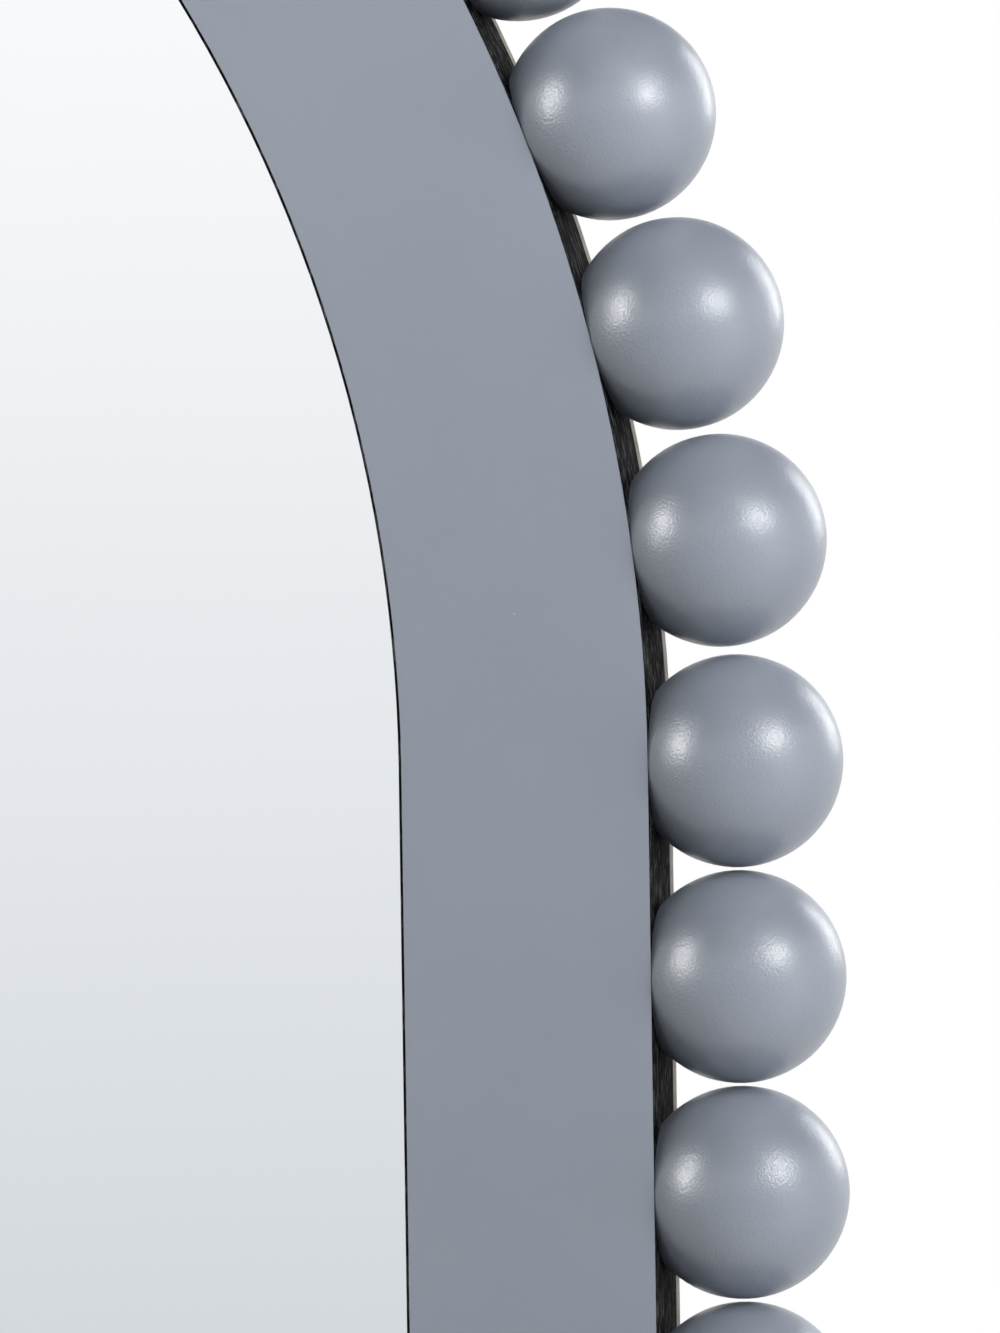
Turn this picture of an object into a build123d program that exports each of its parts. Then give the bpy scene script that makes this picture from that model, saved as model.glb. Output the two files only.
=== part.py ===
from build123d import *
import os
from math import ceil, cos, pi, sin, sqrt
from typing import NamedTuple

os.makedirs("parts", exist_ok=True)

# An arched wall mirror with a border of wooden balls, in millimetres. The wall is the plane y = 0,
# the mirror faces -Y and +Z is up. The origin lies on the wall, midway between the axes of the two
# hanger rings. A depth is a distance out from the wall, an inset is a distance in from the frame's
# outer edge, and left and right are as seen by someone who looks into the mirror.

# Outline of the frame
frame_half_width = 416.0
straight_side = 1415.2
band_width = 60.0
ring_axis_drop = 220.0

# Layers of the frame
back_panel_thickness = 5.0
core_thickness = 24.0
face_board_thickness = 6.0
face_inner_ease = 0.8

# Balls along the outer edge
ball_diameter = 50.8
ball_offset = 18.4
ball_wall_gap = 2.1
least_ball_gap = 0.2

# Mirror glass and what holds it in its rebate
rebate_width = 10.0
glass_thickness = 5.0
glass_clearance = 1.5
foam_thickness = 3.0
foam_width = 7.0
foam_edge_inset = 0.5
setting_block_length = 60.0
setting_block_share = 0.5

# Arch segments
arch_segments = 5

# Dowels
dowel_fit = 0.1
dowel_end_room = 1.0
dowel_chamfer = 1.0
ball_dowel_diameter = 8.0
ball_dowel_in_frame = 14.0
ball_dowel_in_ball = 20.0
frame_dowel_diameter = 8.0
frame_dowel_length = 40.0
frame_dowel_wall = 3.0
frame_dowel_rebate_wall = 8.0

# Wood screws
screw_diameter = 4.0
screw_fit = 0.1
screw_tip_length = 4.0
screw_head_diameter = 8.0
pan_head_height = 2.4
flat_head_height = 2.2
recess_length = 4.4
recess_width = 1.0
recess_depth = 1.2
panel_screw_length = 18.0
panel_screw_rebate_wall = 6.0
panel_screw_spacing = 200.0
hanger_screw_length = 22.0
bumper_screw_length = 21.0

# Hangers
strap_width = 16.0
strap_thickness = 1.5
strap_length = 58.0
strap_corner_radius = 5.0
strap_inset = 30.0
strap_screw_drops = (33.0, 48.0)
strap_curl_slit = 0.3
ring_wire = 4.0
ring_clearance = 0.3
ring_width = 28.0
ring_corner_radius = 5.0
ring_leg = 8.0

# Wall bumpers
bumper_base_diameter = 20.0
bumper_face_diameter = 18.0
bumper_recess_diameter = 10.0
bumper_recess_depth = 6.0
bumper_inset = 28.0
bumper_rise = 90.0
bumper_arch_turn = 45.0

# Depths that follow
ball_radius = ball_diameter / 2
frame_depth = back_panel_thickness + core_thickness + face_board_thickness
panel_rear = ball_radius + ball_wall_gap - frame_depth / 2
core_rear = panel_rear + back_panel_thickness
core_front = core_rear + core_thickness
face_front = core_front + face_board_thickness
frame_middle = (panel_rear + face_front) / 2
rebate_depth = glass_thickness + foam_thickness
glass_rear = core_rear + foam_thickness

# Heights and insets that follow
spring_z = ring_axis_drop
frame_bottom = spring_z - straight_side
solid_width = band_width - rebate_width
glass_inset = solid_width + glass_clearance
foam_inset = glass_inset + foam_edge_inset
rail_half = frame_half_width - band_width

# Rows of balls: each row takes as many as fit, and spreads them evenly
ball_line = frame_half_width + ball_offset
least_pitch = ball_diameter + least_ball_gap
arch_steps = int(pi * ball_line / least_pitch)
side_steps = int((straight_side + ball_offset) / least_pitch)
bottom_steps = int(2 * ball_line / least_pitch)
side_pitch = (straight_side + ball_offset) / side_steps
bottom_pitch = 2 * ball_line / bottom_steps
arch_joint_z = spring_z - side_pitch / 2


class Seat(NamedTuple):
    """A ball's centre, the way out of the frame there, and the distance back to the frame."""

    x: float
    z: float
    out_x: float
    out_z: float
    reach: float = ball_offset

    def plane(self):
        way_out = (self.out_x, 0, self.out_z)
        return Plane(origin=(self.x, -frame_middle, self.z), x_dir=(0, 1, 0), z_dir=way_out)


def on_arch(turn, inset=0.0):
    """Point on the arch, a turn in radians from the left spring line and an inset from its edge."""
    radius = frame_half_width - inset
    return -radius * cos(turn), spring_z + radius * sin(turn)


def joint_step(number):
    """Place of an arch joint in steps of the balls: half way between two of them."""
    if number == 0:
        return -0.5
    if number == arch_segments:
        return arch_steps + 0.5
    return round(number * arch_steps / arch_segments - 0.5) + 0.5


def arched_outline(inset, mode=Mode.ADD):
    """Area inside the frame's outline at an inset, for the sketch that is open."""
    half = frame_half_width - inset
    foot = frame_bottom + inset
    with BuildLine() as outline:
        Polyline((-half, spring_z), (-half, foot), (half, foot), (half, spring_z))
        ThreePointArc((half, spring_z), (0, spring_z + half), (-half, spring_z))
    make_face(outline.edges(), mode=mode)


def facing_in(points, depth):
    """Planes at points of x and z, at a depth, whose normals point from the wall into the frame."""
    return [Plane(origin=(x, -depth, z), x_dir=(1, 0, 0), z_dir=(0, -1, 0)) for x, z in points]


def evenly(low, high, most):
    """Middles of equal stretches between two places, none longer than the most."""
    count = ceil((high - low) / most)
    return [low + (index + 0.5) * (high - low) / count for index in range(count)]


# Where the balls sit, member by member
def arch_seat(step):
    """Seat of the arch ball a number of steps from the left spring line."""
    turn = pi * step / arch_steps
    return Seat(-ball_line * cos(turn), spring_z + ball_line * sin(turn), -cos(turn), sin(turn))


def side_seats(side):
    """Seats down one straight side, below the spring line and above the corner."""
    return [Seat(side * ball_line, spring_z - step * side_pitch, side, 0) for step in range(1, side_steps)]


row_z = frame_bottom - ball_offset
corner_way = sqrt(0.5)
corner_reach = ball_offset / corner_way
corner_seats = [
    Seat(side * ball_line, row_z, side * corner_way, -corner_way, corner_reach) for side in (-1, 1)
]
bottom_seats = [Seat(-ball_line + step * bottom_pitch, row_z, 0, -1) for step in range(1, bottom_steps)]
seats = {"left_side": side_seats(-1), "right_side": side_seats(1), "bottom": bottom_seats}
joint_steps = [joint_step(number) for number in range(arch_segments + 1)]
for number in range(arch_segments):
    steps = range(ceil(joint_steps[number]), ceil(joint_steps[number + 1]))
    seats[f"arch_{number + 1}"] = [arch_seat(step) for step in steps]
edge_seats = [seat for row in seats.values() for seat in row]

# Turns of the arch joints, with the spring lines in place of the two joints below them
arch_turns = [min(max(pi * step / arch_steps, 0), pi) for step in joint_steps]

# Areas of the core's members, as corner points of x and z
far = 2 * frame_half_width
core_regions = {
    "bottom_rail": [
        (-rail_half, frame_bottom),
        (rail_half, frame_bottom),
        (rail_half, frame_bottom + band_width),
        (-rail_half, frame_bottom + band_width),
    ]
}
for name, side in (("left_stile", -1), ("right_stile", 1)):
    core_regions[name] = [
        (side * rail_half, frame_bottom),
        (side * frame_half_width, frame_bottom),
        (side * frame_half_width, arch_joint_z),
        (side * rail_half, arch_joint_z),
    ]
for number in range(arch_segments):
    start = on_arch(arch_turns[number], -far)
    end = on_arch(arch_turns[number + 1], -far)
    region = [start, end, (0, spring_z)]
    if number == 0:
        region = [(start[0], arch_joint_z), end, (0, spring_z), (0, arch_joint_z)]
    if number == arch_segments - 1:
        region = [start, (end[0], arch_joint_z), (0, arch_joint_z), (0, spring_z)]
    core_regions[f"arch_segment_{number + 1}"] = region

# Frame dowels: two across each joint, clear of the ball dowels and of the rebate
outer_dowel_inset = ball_dowel_in_frame + dowel_end_room + frame_dowel_wall + frame_dowel_diameter / 2
inner_dowel_inset = solid_width - frame_dowel_rebate_wall - frame_dowel_diameter / 2
core_middle = (core_rear + core_front) / 2
frame_dowel_planes = []
for inset in (outer_dowel_inset, inner_dowel_inset):
    places = []
    for side in (-1, 1):
        places.append((side * rail_half, frame_bottom + inset, 1, 0))
        places.append((side * (frame_half_width - inset), arch_joint_z, 0, 1))
    for turn in arch_turns[1:-1]:
        places.append((*on_arch(turn, inset), sin(turn), cos(turn)))
    for x, z, along_x, along_z in places:
        along = (along_x, 0, along_z)
        plane = Plane(origin=(x, -core_middle, z), x_dir=(0, 1, 0), z_dir=along)
        frame_dowel_planes.append(plane)

# Screw places in x and z
panel_screw_inset = solid_width - panel_screw_rebate_wall
panel_screw_x = frame_half_width - panel_screw_inset
panel_screws_at = []
for x in evenly(-rail_half, rail_half, panel_screw_spacing):
    panel_screws_at.append((x, frame_bottom + panel_screw_inset))
for z in evenly(frame_bottom, arch_joint_z, panel_screw_spacing):
    panel_screws_at += [(-panel_screw_x, z), (panel_screw_x, z)]
for start, end in zip(arch_turns, arch_turns[1:]):
    for turn in evenly(start, end, panel_screw_spacing / panel_screw_x):
        panel_screws_at.append(on_arch(turn, panel_screw_inset))
strap_x = frame_half_width - strap_inset
hanger_screws_at = [(side * strap_x, -drop) for side in (-1, 1) for drop in strap_screw_drops]
bumper_x = frame_half_width - bumper_inset
bumper_turn = bumper_arch_turn * pi / 180
bumpers_at = {
    "bumper_bottom_left": (-bumper_x, frame_bottom + bumper_rise),
    "bumper_bottom_right": (bumper_x, frame_bottom + bumper_rise),
    "bumper_top_left": on_arch(bumper_turn, bumper_inset),
    "bumper_top_right": on_arch(pi - bumper_turn, bumper_inset),
}
strap_rear = panel_rear - strap_thickness
screw_radius = screw_diameter / 2
screw_groups = (
    (panel_screws_at, panel_rear, panel_screw_length),
    (hanger_screws_at, strap_rear, hanger_screw_length),
    (list(bumpers_at.values()), bumper_recess_depth, bumper_screw_length),
)


def drill_screw_holes():
    """Cut every screw's hole from the part that is open."""
    for points, head_depth, length in screw_groups:
        with BuildSketch(Plane.XZ.offset(head_depth)) as holes:
            with Locations(*points):
                Circle(screw_radius + screw_fit)
        extrude(holes.sketch, amount=length + dowel_end_room, mode=Mode.SUBTRACT)


def drill_dowel_holes():
    """Cut every dowel's hole from the part that is open."""
    centred = (Align.CENTER, Align.CENTER, Align.CENTER)
    from_end = (Align.CENTER, Align.CENTER, Align.MIN)
    with Locations(*frame_dowel_planes):
        hole_length = frame_dowel_length + 2 * dowel_end_room
        Cylinder(frame_dowel_diameter / 2 + dowel_fit, hole_length, align=centred, mode=Mode.SUBTRACT)
    for group in (edge_seats, corner_seats):
        reach = group[0].reach
        bottom = reach + ball_dowel_in_frame + dowel_end_room
        with Locations(*[seat.plane().offset(-bottom) for seat in group]):
            Cylinder(ball_dowel_diameter / 2 + dowel_fit, bottom, align=from_end, mode=Mode.SUBTRACT)


def core_member(region):
    """One member of the core: its share of the arched ring, with the rebate and its holes."""
    with BuildPart() as member:
        with BuildSketch(Plane.XZ.offset(core_rear)):
            arched_outline(0)
            arched_outline(band_width, Mode.SUBTRACT)
            with BuildLine():
                Polyline(*region, close=True)
            make_face(mode=Mode.INTERSECT)
        extrude(amount=core_thickness)
        with BuildSketch(Plane.XZ.offset(core_rear)):
            arched_outline(solid_width)
        extrude(amount=rebate_depth, mode=Mode.SUBTRACT)
        drill_screw_holes()
        drill_dowel_holes()
    return member.part


def ball(flat_seat):
    """One ball about its centre, with its seat or its bare round side towards -Z and its dowel hole."""
    with BuildPart() as piece:
        Sphere(ball_radius)
        if flat_seat:
            split(bisect_by=Plane.XY.offset(-ball_offset), keep=Keep.TOP)
        hole_top = ball_dowel_in_ball - ball_offset + dowel_end_room
        with Locations(Plane.XY.offset(-ball_radius)):
            hole_length = ball_radius + hole_top
            from_end = (Align.CENTER, Align.CENTER, Align.MIN)
            Cylinder(ball_dowel_diameter / 2 + dowel_fit, hole_length, align=from_end, mode=Mode.SUBTRACT)
    return piece.part


def dowel(diameter, length):
    """One dowel along +Z from the origin, with chamfered ends."""
    with BuildPart() as piece:
        Cylinder(diameter / 2, length, align=(Align.CENTER, Align.CENTER, Align.MIN))
        chamfer(piece.edges().filter_by(GeomType.CIRCLE), length=dowel_chamfer)
    return piece.part


def wood_screw(length, pan_head):
    """One screw along +Z: under its pan head, or at its flat head's face, z is 0."""
    head_radius = screw_head_diameter / 2
    face = -pan_head_height if pan_head else 0
    with BuildPart() as piece:
        with BuildSketch(Plane.XZ):
            with BuildLine():
                if pan_head:
                    ThreePointArc((0, face), (head_radius * corner_way, face * corner_way), (head_radius, 0))
                    Line((head_radius, 0), (screw_radius, 0))
                    neck = (screw_radius, 0)
                else:
                    Line((0, 0), (head_radius, 0))
                    Line((head_radius, 0), (screw_radius, flat_head_height))
                    neck = (screw_radius, flat_head_height)
                Polyline(neck, (screw_radius, length - screw_tip_length), (0, length), (0, face))
            make_face()
        revolve(axis=Axis.Z)
        with BuildSketch(Plane.XY.offset(face)):
            Rectangle(recess_length, recess_width)
            Rectangle(recess_width, recess_length)
        extrude(amount=recess_depth, mode=Mode.SUBTRACT)
    return piece.part


def placed(piece, planes):
    """Copies of a piece, one at each plane, as separate solids of one part."""
    with BuildPart() as group:
        with Locations(*planes):
            add(piece)
    return group.part


pieces = {}

# Core members
for name, region in core_regions.items():
    pieces[name] = core_member(region)

# Face board: the flat band, eased at its inner edge
with BuildPart() as face_board:
    with BuildSketch(Plane.XZ.offset(core_front)):
        arched_outline(0)
        arched_outline(band_width, Mode.SUBTRACT)
    extrude(amount=face_board_thickness)
    front = face_board.faces().sort_by(Axis.Y)[0]
    chamfer(front.inner_wires()[0].edges(), length=face_inner_ease)
pieces["face_board"] = face_board.part

# Mirror glass, pressed forward in its rebate
with BuildPart() as mirror_glass:
    with BuildSketch(Plane.XZ.offset(glass_rear)):
        arched_outline(glass_inset)
    extrude(amount=glass_thickness)
pieces["mirror_glass"] = mirror_glass.part

# Setting blocks under the glass
for name, side in (("setting_block_left", -1), ("setting_block_right", 1)):
    with BuildPart() as setting_block:
        with BuildSketch(Plane.XZ.offset(glass_rear)):
            with Locations((side * setting_block_share * rail_half, frame_bottom + solid_width)):
                Rectangle(setting_block_length, glass_clearance, align=(Align.CENTER, Align.MIN))
        extrude(amount=glass_thickness)
    pieces[name] = setting_block.part

# Foam strip between the glass and the back panel
with BuildPart() as foam_strip:
    with BuildSketch(Plane.XZ.offset(core_rear)):
        arched_outline(foam_inset)
        arched_outline(foam_inset + foam_width, Mode.SUBTRACT)
    extrude(amount=foam_thickness)
pieces["foam_strip"] = foam_strip.part

# Back panel, countersunk for its screws
with BuildPart() as back_panel:
    with BuildSketch(Plane.XZ.offset(panel_rear)):
        arched_outline(0)
    extrude(amount=back_panel_thickness)
    drill_screw_holes()
    with Locations(*facing_in(panel_screws_at, panel_rear)):
        Cone(
            screw_head_diameter / 2 + screw_fit,
            screw_radius + screw_fit,
            flat_head_height,
            align=(Align.CENTER, Align.CENTER, Align.MIN),
            mode=Mode.SUBTRACT,
        )
pieces["back_panel"] = back_panel.part

# Balls, one group for each run of the border, with the corner balls in the bottom row
seated_ball = ball(flat_seat=True)
corner_ball = ball(flat_seat=False)
for row, row_seats in seats.items():
    with BuildPart() as ball_row:
        with Locations(*[seat.plane() for seat in row_seats]):
            add(seated_ball)
        if row == "bottom":
            with Locations(*[seat.plane() for seat in corner_seats]):
                add(corner_ball)
    pieces[f"balls_{row}"] = ball_row.part

# Dowels
with BuildPart() as ball_dowels:
    for group in (edge_seats, corner_seats):
        foot = group[0].reach + ball_dowel_in_frame
        length = foot + ball_dowel_in_ball - ball_offset
        with Locations(*[seat.plane().offset(-foot) for seat in group]):
            add(dowel(ball_dowel_diameter, length))
pieces["ball_dowels"] = ball_dowels.part
half_length = frame_dowel_length / 2
pieces["frame_dowels"] = placed(
    dowel(frame_dowel_diameter, frame_dowel_length),
    [plane.offset(-half_length) for plane in frame_dowel_planes],
)

# Hangers: a strap whose end curls round the straight bar of its ring
ring_radius = ring_wire / 2
curl_bore = ring_radius + ring_clearance
curl_radius = curl_bore + strap_thickness
ring_depth = panel_rear - curl_radius
for name, side in (("left", -1), ("right", 1)):
    with BuildPart() as strap:
        with BuildSketch(Plane.YZ.offset(side * strap_x - strap_width / 2)):
            with Locations((-panel_rear, -strap_length)):
                Rectangle(strap_thickness, strap_length, align=(Align.MIN, Align.MIN))
            with Locations((-ring_depth, 0)):
                Circle(curl_radius)
                Circle(curl_bore, mode=Mode.SUBTRACT)
            with Locations((-strap_rear, -curl_radius)):
                slit_length = curl_radius - ring_radius / 2
                Rectangle(strap_curl_slit, slit_length, align=(Align.MIN, Align.MIN), mode=Mode.SUBTRACT)
        extrude(amount=strap_width)
        foot_edges = strap.edges().filter_by(Axis.Y).group_by(Axis.Z)[0]
        fillet(foot_edges, radius=strap_corner_radius)
        with Locations(*facing_in([(side * strap_x, -drop) for drop in strap_screw_drops], panel_rear)):
            Cylinder(screw_radius + screw_fit, 2 * strap_thickness, mode=Mode.SUBTRACT)
    pieces[f"{name}_hanger_strap"] = strap.part

    with BuildPart() as ring:
        with BuildLine(Plane.XZ.offset(ring_depth)) as ring_path:
            left = side * strap_x - ring_width / 2
            right = side * strap_x + ring_width / 2
            FilletPolyline(
                (left, -ring_leg), (left, 0), (right, 0), (right, -ring_leg), radius=ring_corner_radius
            )
            bow_bottom = -ring_leg - ring_width / 2
            ThreePointArc((right, -ring_leg), (side * strap_x, bow_bottom), (left, -ring_leg))
        with BuildSketch(Plane(origin=(left, -ring_depth, -ring_leg), x_dir=(1, 0, 0), z_dir=(0, 0, 1))):
            Circle(ring_radius)
        sweep(path=ring_path.wires()[0])
    pieces[f"{name}_hanger_ring"] = ring.part

# Wall bumpers, tapered, with a recess for the screw's head
with BuildPart() as bumper:
    from_end = (Align.CENTER, Align.CENTER, Align.MIN)
    Cone(bumper_face_diameter / 2, bumper_base_diameter / 2, panel_rear, align=from_end)
    Cylinder(bumper_recess_diameter / 2, bumper_recess_depth, align=from_end, mode=Mode.SUBTRACT)
    Cylinder(screw_radius + screw_fit, panel_rear, align=from_end, mode=Mode.SUBTRACT)
for name, place in bumpers_at.items():
    pieces[name] = placed(bumper.part, facing_in([place], 0))

# Screws
pieces["panel_screws"] = placed(
    wood_screw(panel_screw_length, pan_head=False), facing_in(panel_screws_at, panel_rear)
)
pieces["hanger_screws"] = placed(
    wood_screw(hanger_screw_length, pan_head=True), facing_in(hanger_screws_at, strap_rear)
)
pieces["bumper_screws"] = placed(
    wood_screw(bumper_screw_length, pan_head=True), facing_in(bumpers_at.values(), bumper_recess_depth)
)

for name, part in pieces.items():
    part.label = name
    export_step(part, f"parts/{name}.step")
print(len(pieces), "pieces and", len(edge_seats) + len(corner_seats), "balls")
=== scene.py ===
"""Looks of the full-length wall mirror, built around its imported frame."""

from math import ceil, cos, pi, radians, sin, sqrt

import bpy
import numpy as np
from bpy.props import FloatProperty, FloatVectorProperty, IntProperty, PointerProperty
from mathutils import Matrix, Vector
from mathutils.geometry import tessellate_polygon


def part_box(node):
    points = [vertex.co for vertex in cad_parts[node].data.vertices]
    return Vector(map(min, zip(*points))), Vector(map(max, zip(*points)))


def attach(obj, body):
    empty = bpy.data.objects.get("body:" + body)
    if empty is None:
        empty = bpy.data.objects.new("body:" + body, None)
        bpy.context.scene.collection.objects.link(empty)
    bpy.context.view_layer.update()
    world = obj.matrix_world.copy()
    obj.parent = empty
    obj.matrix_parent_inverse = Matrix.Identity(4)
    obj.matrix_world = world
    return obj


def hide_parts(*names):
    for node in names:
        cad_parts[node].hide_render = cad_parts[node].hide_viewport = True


bl_info = {
    "name": "Ball border mirror",
    "version": (1, 0),
    "blender": (4, 5, 0),
    "location": "3D View > Sidebar > Mirror",
    "description": "Builds the ball border, the finishes and the stage of an arched wall mirror",
    "category": "Object",
}

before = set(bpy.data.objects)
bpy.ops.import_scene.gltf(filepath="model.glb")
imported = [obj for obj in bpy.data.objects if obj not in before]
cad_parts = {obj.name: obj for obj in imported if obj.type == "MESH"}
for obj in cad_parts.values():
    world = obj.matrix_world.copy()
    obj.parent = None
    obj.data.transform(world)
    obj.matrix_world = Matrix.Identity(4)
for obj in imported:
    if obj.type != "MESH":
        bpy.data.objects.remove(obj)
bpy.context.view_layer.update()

# Places read from the frame, in metres
face_low, face_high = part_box("face_board")
glass_low, glass_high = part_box("mirror_glass")
panel_low, panel_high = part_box("back_panel")
row_low, row_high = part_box("balls_right_side")
half_width = round(face_high.x, 4)
spring_z = round(face_high.z - face_high.x, 4)
foot_z = round(face_low.z, 4)
ball_radius = round((row_high.y - row_low.y) / 2, 4)
ball_line = round(row_high.x - ball_radius, 4)
ball_y = round((row_high.y + row_low.y) / 2, 4)
seat_reach = ball_line - half_width
corner_reach = seat_reach * sqrt(2)
floor_z = min(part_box("balls_bottom")[0].z, face_low.z)

# Core members by the way that they run, and the most turn of one facet round the arch
arch_parts = 5
upright_members = ("left_stile", "right_stile")
level_members = ("bottom_rail",)
arch_facet = radians(1.2)

# Lamps round the aim point: name, degrees round and up, metres away, width and height, level, and
# whether gloss and dull colour show the lamp
studio_lamps = (
    ("Right lamp", 54, 23, 2.6, (0.95, 0.95), 0.55, True, True),
    ("Left strip", -58, 17, 2.6, (0.50, 1.20), 0.50, True, False),
    ("Rim lamp", 146, 18, 2.4, (0.5, 1.2), 0.24, True, True),
    ("Broad right lamp", 70, -15, 2.6, (1.5, 1.8), 0.39, False, True),
    ("Broad left lamp", -40, 10, 2.6, (1.2, 1.2), 0.12, False, True),
    ("Side lamp", -110, 10, 2.6, (1.2, 1.2), 0.20, False, True),
    ("Front lamp", 25, 20, 3.0, (1.2, 1.2), 0.06, False, True),
    ("Back lamp", 180, 25, 3.0, (1.5, 1.5), 0.45, False, True),
)


def colour(name, description, default):
    """A colour property with its default, in linear red, green and blue."""
    limits = {"min": 0.0, "max": 1.0}
    return FloatVectorProperty(
        name=name, description=description, default=default, size=3, subtype="COLOR", **limits
    )


def length(name, description, default):
    """A length property in metres with its default."""
    return FloatProperty(name=name, description=description, default=default, precision=4, unit="LENGTH")


def angle(name, description, degrees):
    """An angle property with its default in degrees."""
    return FloatProperty(name=name, description=description, default=radians(degrees), subtype="ANGLE")


class MirrorSizes(bpy.types.PropertyGroup):
    """Sizes of the ball border, the face board, the arch members and the back panel."""

    band_width: length("Band width", "Width of the face board", 0.060)
    face_ease: length("Face ease", "Bevel of the face board's inner front edge", 0.0008)
    rebate_width: length("Rebate width", "Width of the rebate behind the band", 0.010)
    screw_inset: length("Screw inset", "Panel screws in from the frame's edge", 0.044)
    screw_spacing: length("Screw spacing", "Most space between two panel screws", 0.200)
    screw_hole_radius: length("Screw hole radius", "Radius of a panel screw's hole", 0.0021)
    head_hole_radius: length("Head hole radius", "Radius of its countersink at the panel's rear", 0.0041)
    head_hole_depth: length("Head hole depth", "Depth of that countersink", 0.0022)
    ball_gap: length("Least ball gap", "Least clear space between two balls of a row", 0.0002)
    hole_radius: length("Dowel hole radius", "Radius of the hole that takes a ball's dowel", 0.0041)
    hole_depth: length("Dowel hole depth", "Depth of that hole from the seat of the ball", 0.021)
    facets: IntProperty(
        name="Facets", description="Facets round a ball", default=56, min=12, max=96
    )
    bands: IntProperty(
        name="Bands", description="Bands of facets from a ball's outer pole to its seat", default=28, min=8
    )


class MirrorColours(bpy.types.PropertyGroup):
    """Colours of the finishes."""

    paint: colour("Paint", "Grey-blue paint of the face and the balls", (0.265, 0.295, 0.352))
    paint_worn: colour("Thin paint", "The same paint where it lies thinner", (0.30, 0.33, 0.385))
    pinhole: colour("Pinhole", "Pinholes in the paint", (0.12, 0.13, 0.16))
    dust: colour("Dust", "Specks of dust in the paint", (0.55, 0.57, 0.60))
    black: colour("Black", "Black stain of the sides", (0.003, 0.003, 0.004))
    # Lighter ridges of the black grain: partly the grain's own tone, partly painted glints, since the black
    # finish has almost no gloss
    black_ridge_glint: colour("Black ridges", "Rubbed ridges of the black grain", (0.150, 0.148, 0.150))
    board: colour("Board", "Raw fibreboard of the back panel", (0.78, 0.72, 0.64))
    board_fibre: colour("Board fibre", "Darker fibres of the back panel", (0.58, 0.50, 0.41))
    beech: colour("Beech", "Dowels", (0.60, 0.45, 0.28))
    beech_dark: colour("Beech grain", "Darker grain of the dowels", (0.42, 0.28, 0.15))
    silver: colour("Silver", "Reflection of the mirror", (0.93, 0.94, 0.95))
    haze: colour("Haze", "Trace of haze on the mirror", (0.72, 0.75, 0.78))
    backing: colour("Backing paint", "Paint on the rear of the glass", (0.17, 0.18, 0.19))
    steel: colour("Steel", "Zinc plating", (0.60, 0.60, 0.62))
    steel_dull: colour("Dull steel", "Dull patches of the plating", (0.42, 0.42, 0.43))
    rubber: colour("Rubber", "Bumpers and setting blocks", (0.020, 0.020, 0.022))
    rubber_dust: colour("Rubber bloom", "Bloom on the rubber", (0.050, 0.050, 0.052))
    foam: colour("Foam", "Foam strip", (0.50, 0.50, 0.50))
    foam_cell: colour("Foam cells", "Cells of the foam", (0.30, 0.30, 0.30))


class MirrorStage(bpy.types.PropertyGroup):
    """Camera, lamps and floor."""

    azimuth: angle("Azimuth", "Camera turn to the right of square", 10.12)
    roll: angle("Roll", "Lean of the picture", -0.86)
    distance: length("Distance", "Camera to aim point", 3.0)
    aim: FloatVectorProperty(
        name="Aim",
        description="Point at the picture's centre",
        default=(0.3778, -0.0275, 0.2430),
        subtype="XYZ",
    )
    pixels_per_metre: FloatProperty(
        name="Scale", description="Picture's pixels to one metre at the aim point", default=4201.0
    )
    picture_height: IntProperty(
        name="Picture height", description="Pixels of the picture's height", default=1333
    )
    ambient: FloatProperty(name="Ambient", description="World light on dull surfaces", default=0.10)
    floor: colour("Floor", "Pale floor", (0.80, 0.80, 0.81))


def add_node(tree, kind, inputs=None, **settings):
    """Adds a shader node. An input takes a value, or a socket to link from."""
    node = tree.nodes.new(kind)
    for name, value in settings.items():
        setattr(node, name, value)
    for name, value in (inputs or {}).items():
        if isinstance(value, bpy.types.NodeSocket):
            tree.links.new(value, node.inputs[name])
        else:
            node.inputs[name].default_value = value
    return node


def math(tree, operation, first, second=0.0):
    """Result of a sum on one or two values."""
    return add_node(tree, "ShaderNodeMath", {0: first, 1: second}, operation=operation).outputs[0]


def spread(tree, value, low, high, to_low=0.0, to_high=1.0):
    """A value stretched from low..high to another range, and held inside it."""
    inputs = {"Value": value, "From Min": low, "From Max": high, "To Min": to_low, "To Max": to_high}
    return add_node(tree, "ShaderNodeMapRange", inputs).outputs["Result"]


def blend(tree, share, first, second):
    """Colour between two colours, by a share from 0 to 1."""
    mix = add_node(tree, "ShaderNodeMix", data_type="RGBA")
    for socket, value in zip((mix.inputs[0], mix.inputs[6], mix.inputs[7]), (share, first, second)):
        if isinstance(value, bpy.types.NodeSocket):
            tree.links.new(value, socket)
        elif socket.type == "RGBA":
            socket.default_value = (*tuple(value)[:3], 1.0)
        else:
            socket.default_value = value
    return mix.outputs[2]


def object_point(tree):
    """Point on the piece in the frame's metres."""
    return add_node(tree, "ShaderNodeTexCoord").outputs["Object"]


def noise(tree, point, scale, detail=2.0, rough=0.5):
    """Cloudy noise from 0 to 1, in lumps per metre."""
    inputs = {"Vector": point, "Scale": scale, "Detail": detail, "Roughness": rough}
    return add_node(tree, "ShaderNodeTexNoise", inputs).outputs["Fac"]


def new_group(name, takes, gives):
    """A shader group with named inputs and outputs, and its first and last nodes."""
    kinds = {"colour": "NodeSocketColor", "value": "NodeSocketFloat", "vector": "NodeSocketVector"}
    group = bpy.data.node_groups.new(name, "ShaderNodeTree")
    for label, kind in takes.items():
        group.interface.new_socket(name=label, in_out="INPUT", socket_type=kinds[kind])
    for label, kind in gives.items():
        group.interface.new_socket(name=label, in_out="OUTPUT", socket_type=kinds[kind])
    first = group.nodes.new("NodeGroupInput")
    last = group.nodes.new("NodeGroupOutput")
    return group, first.outputs, last.inputs


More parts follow.
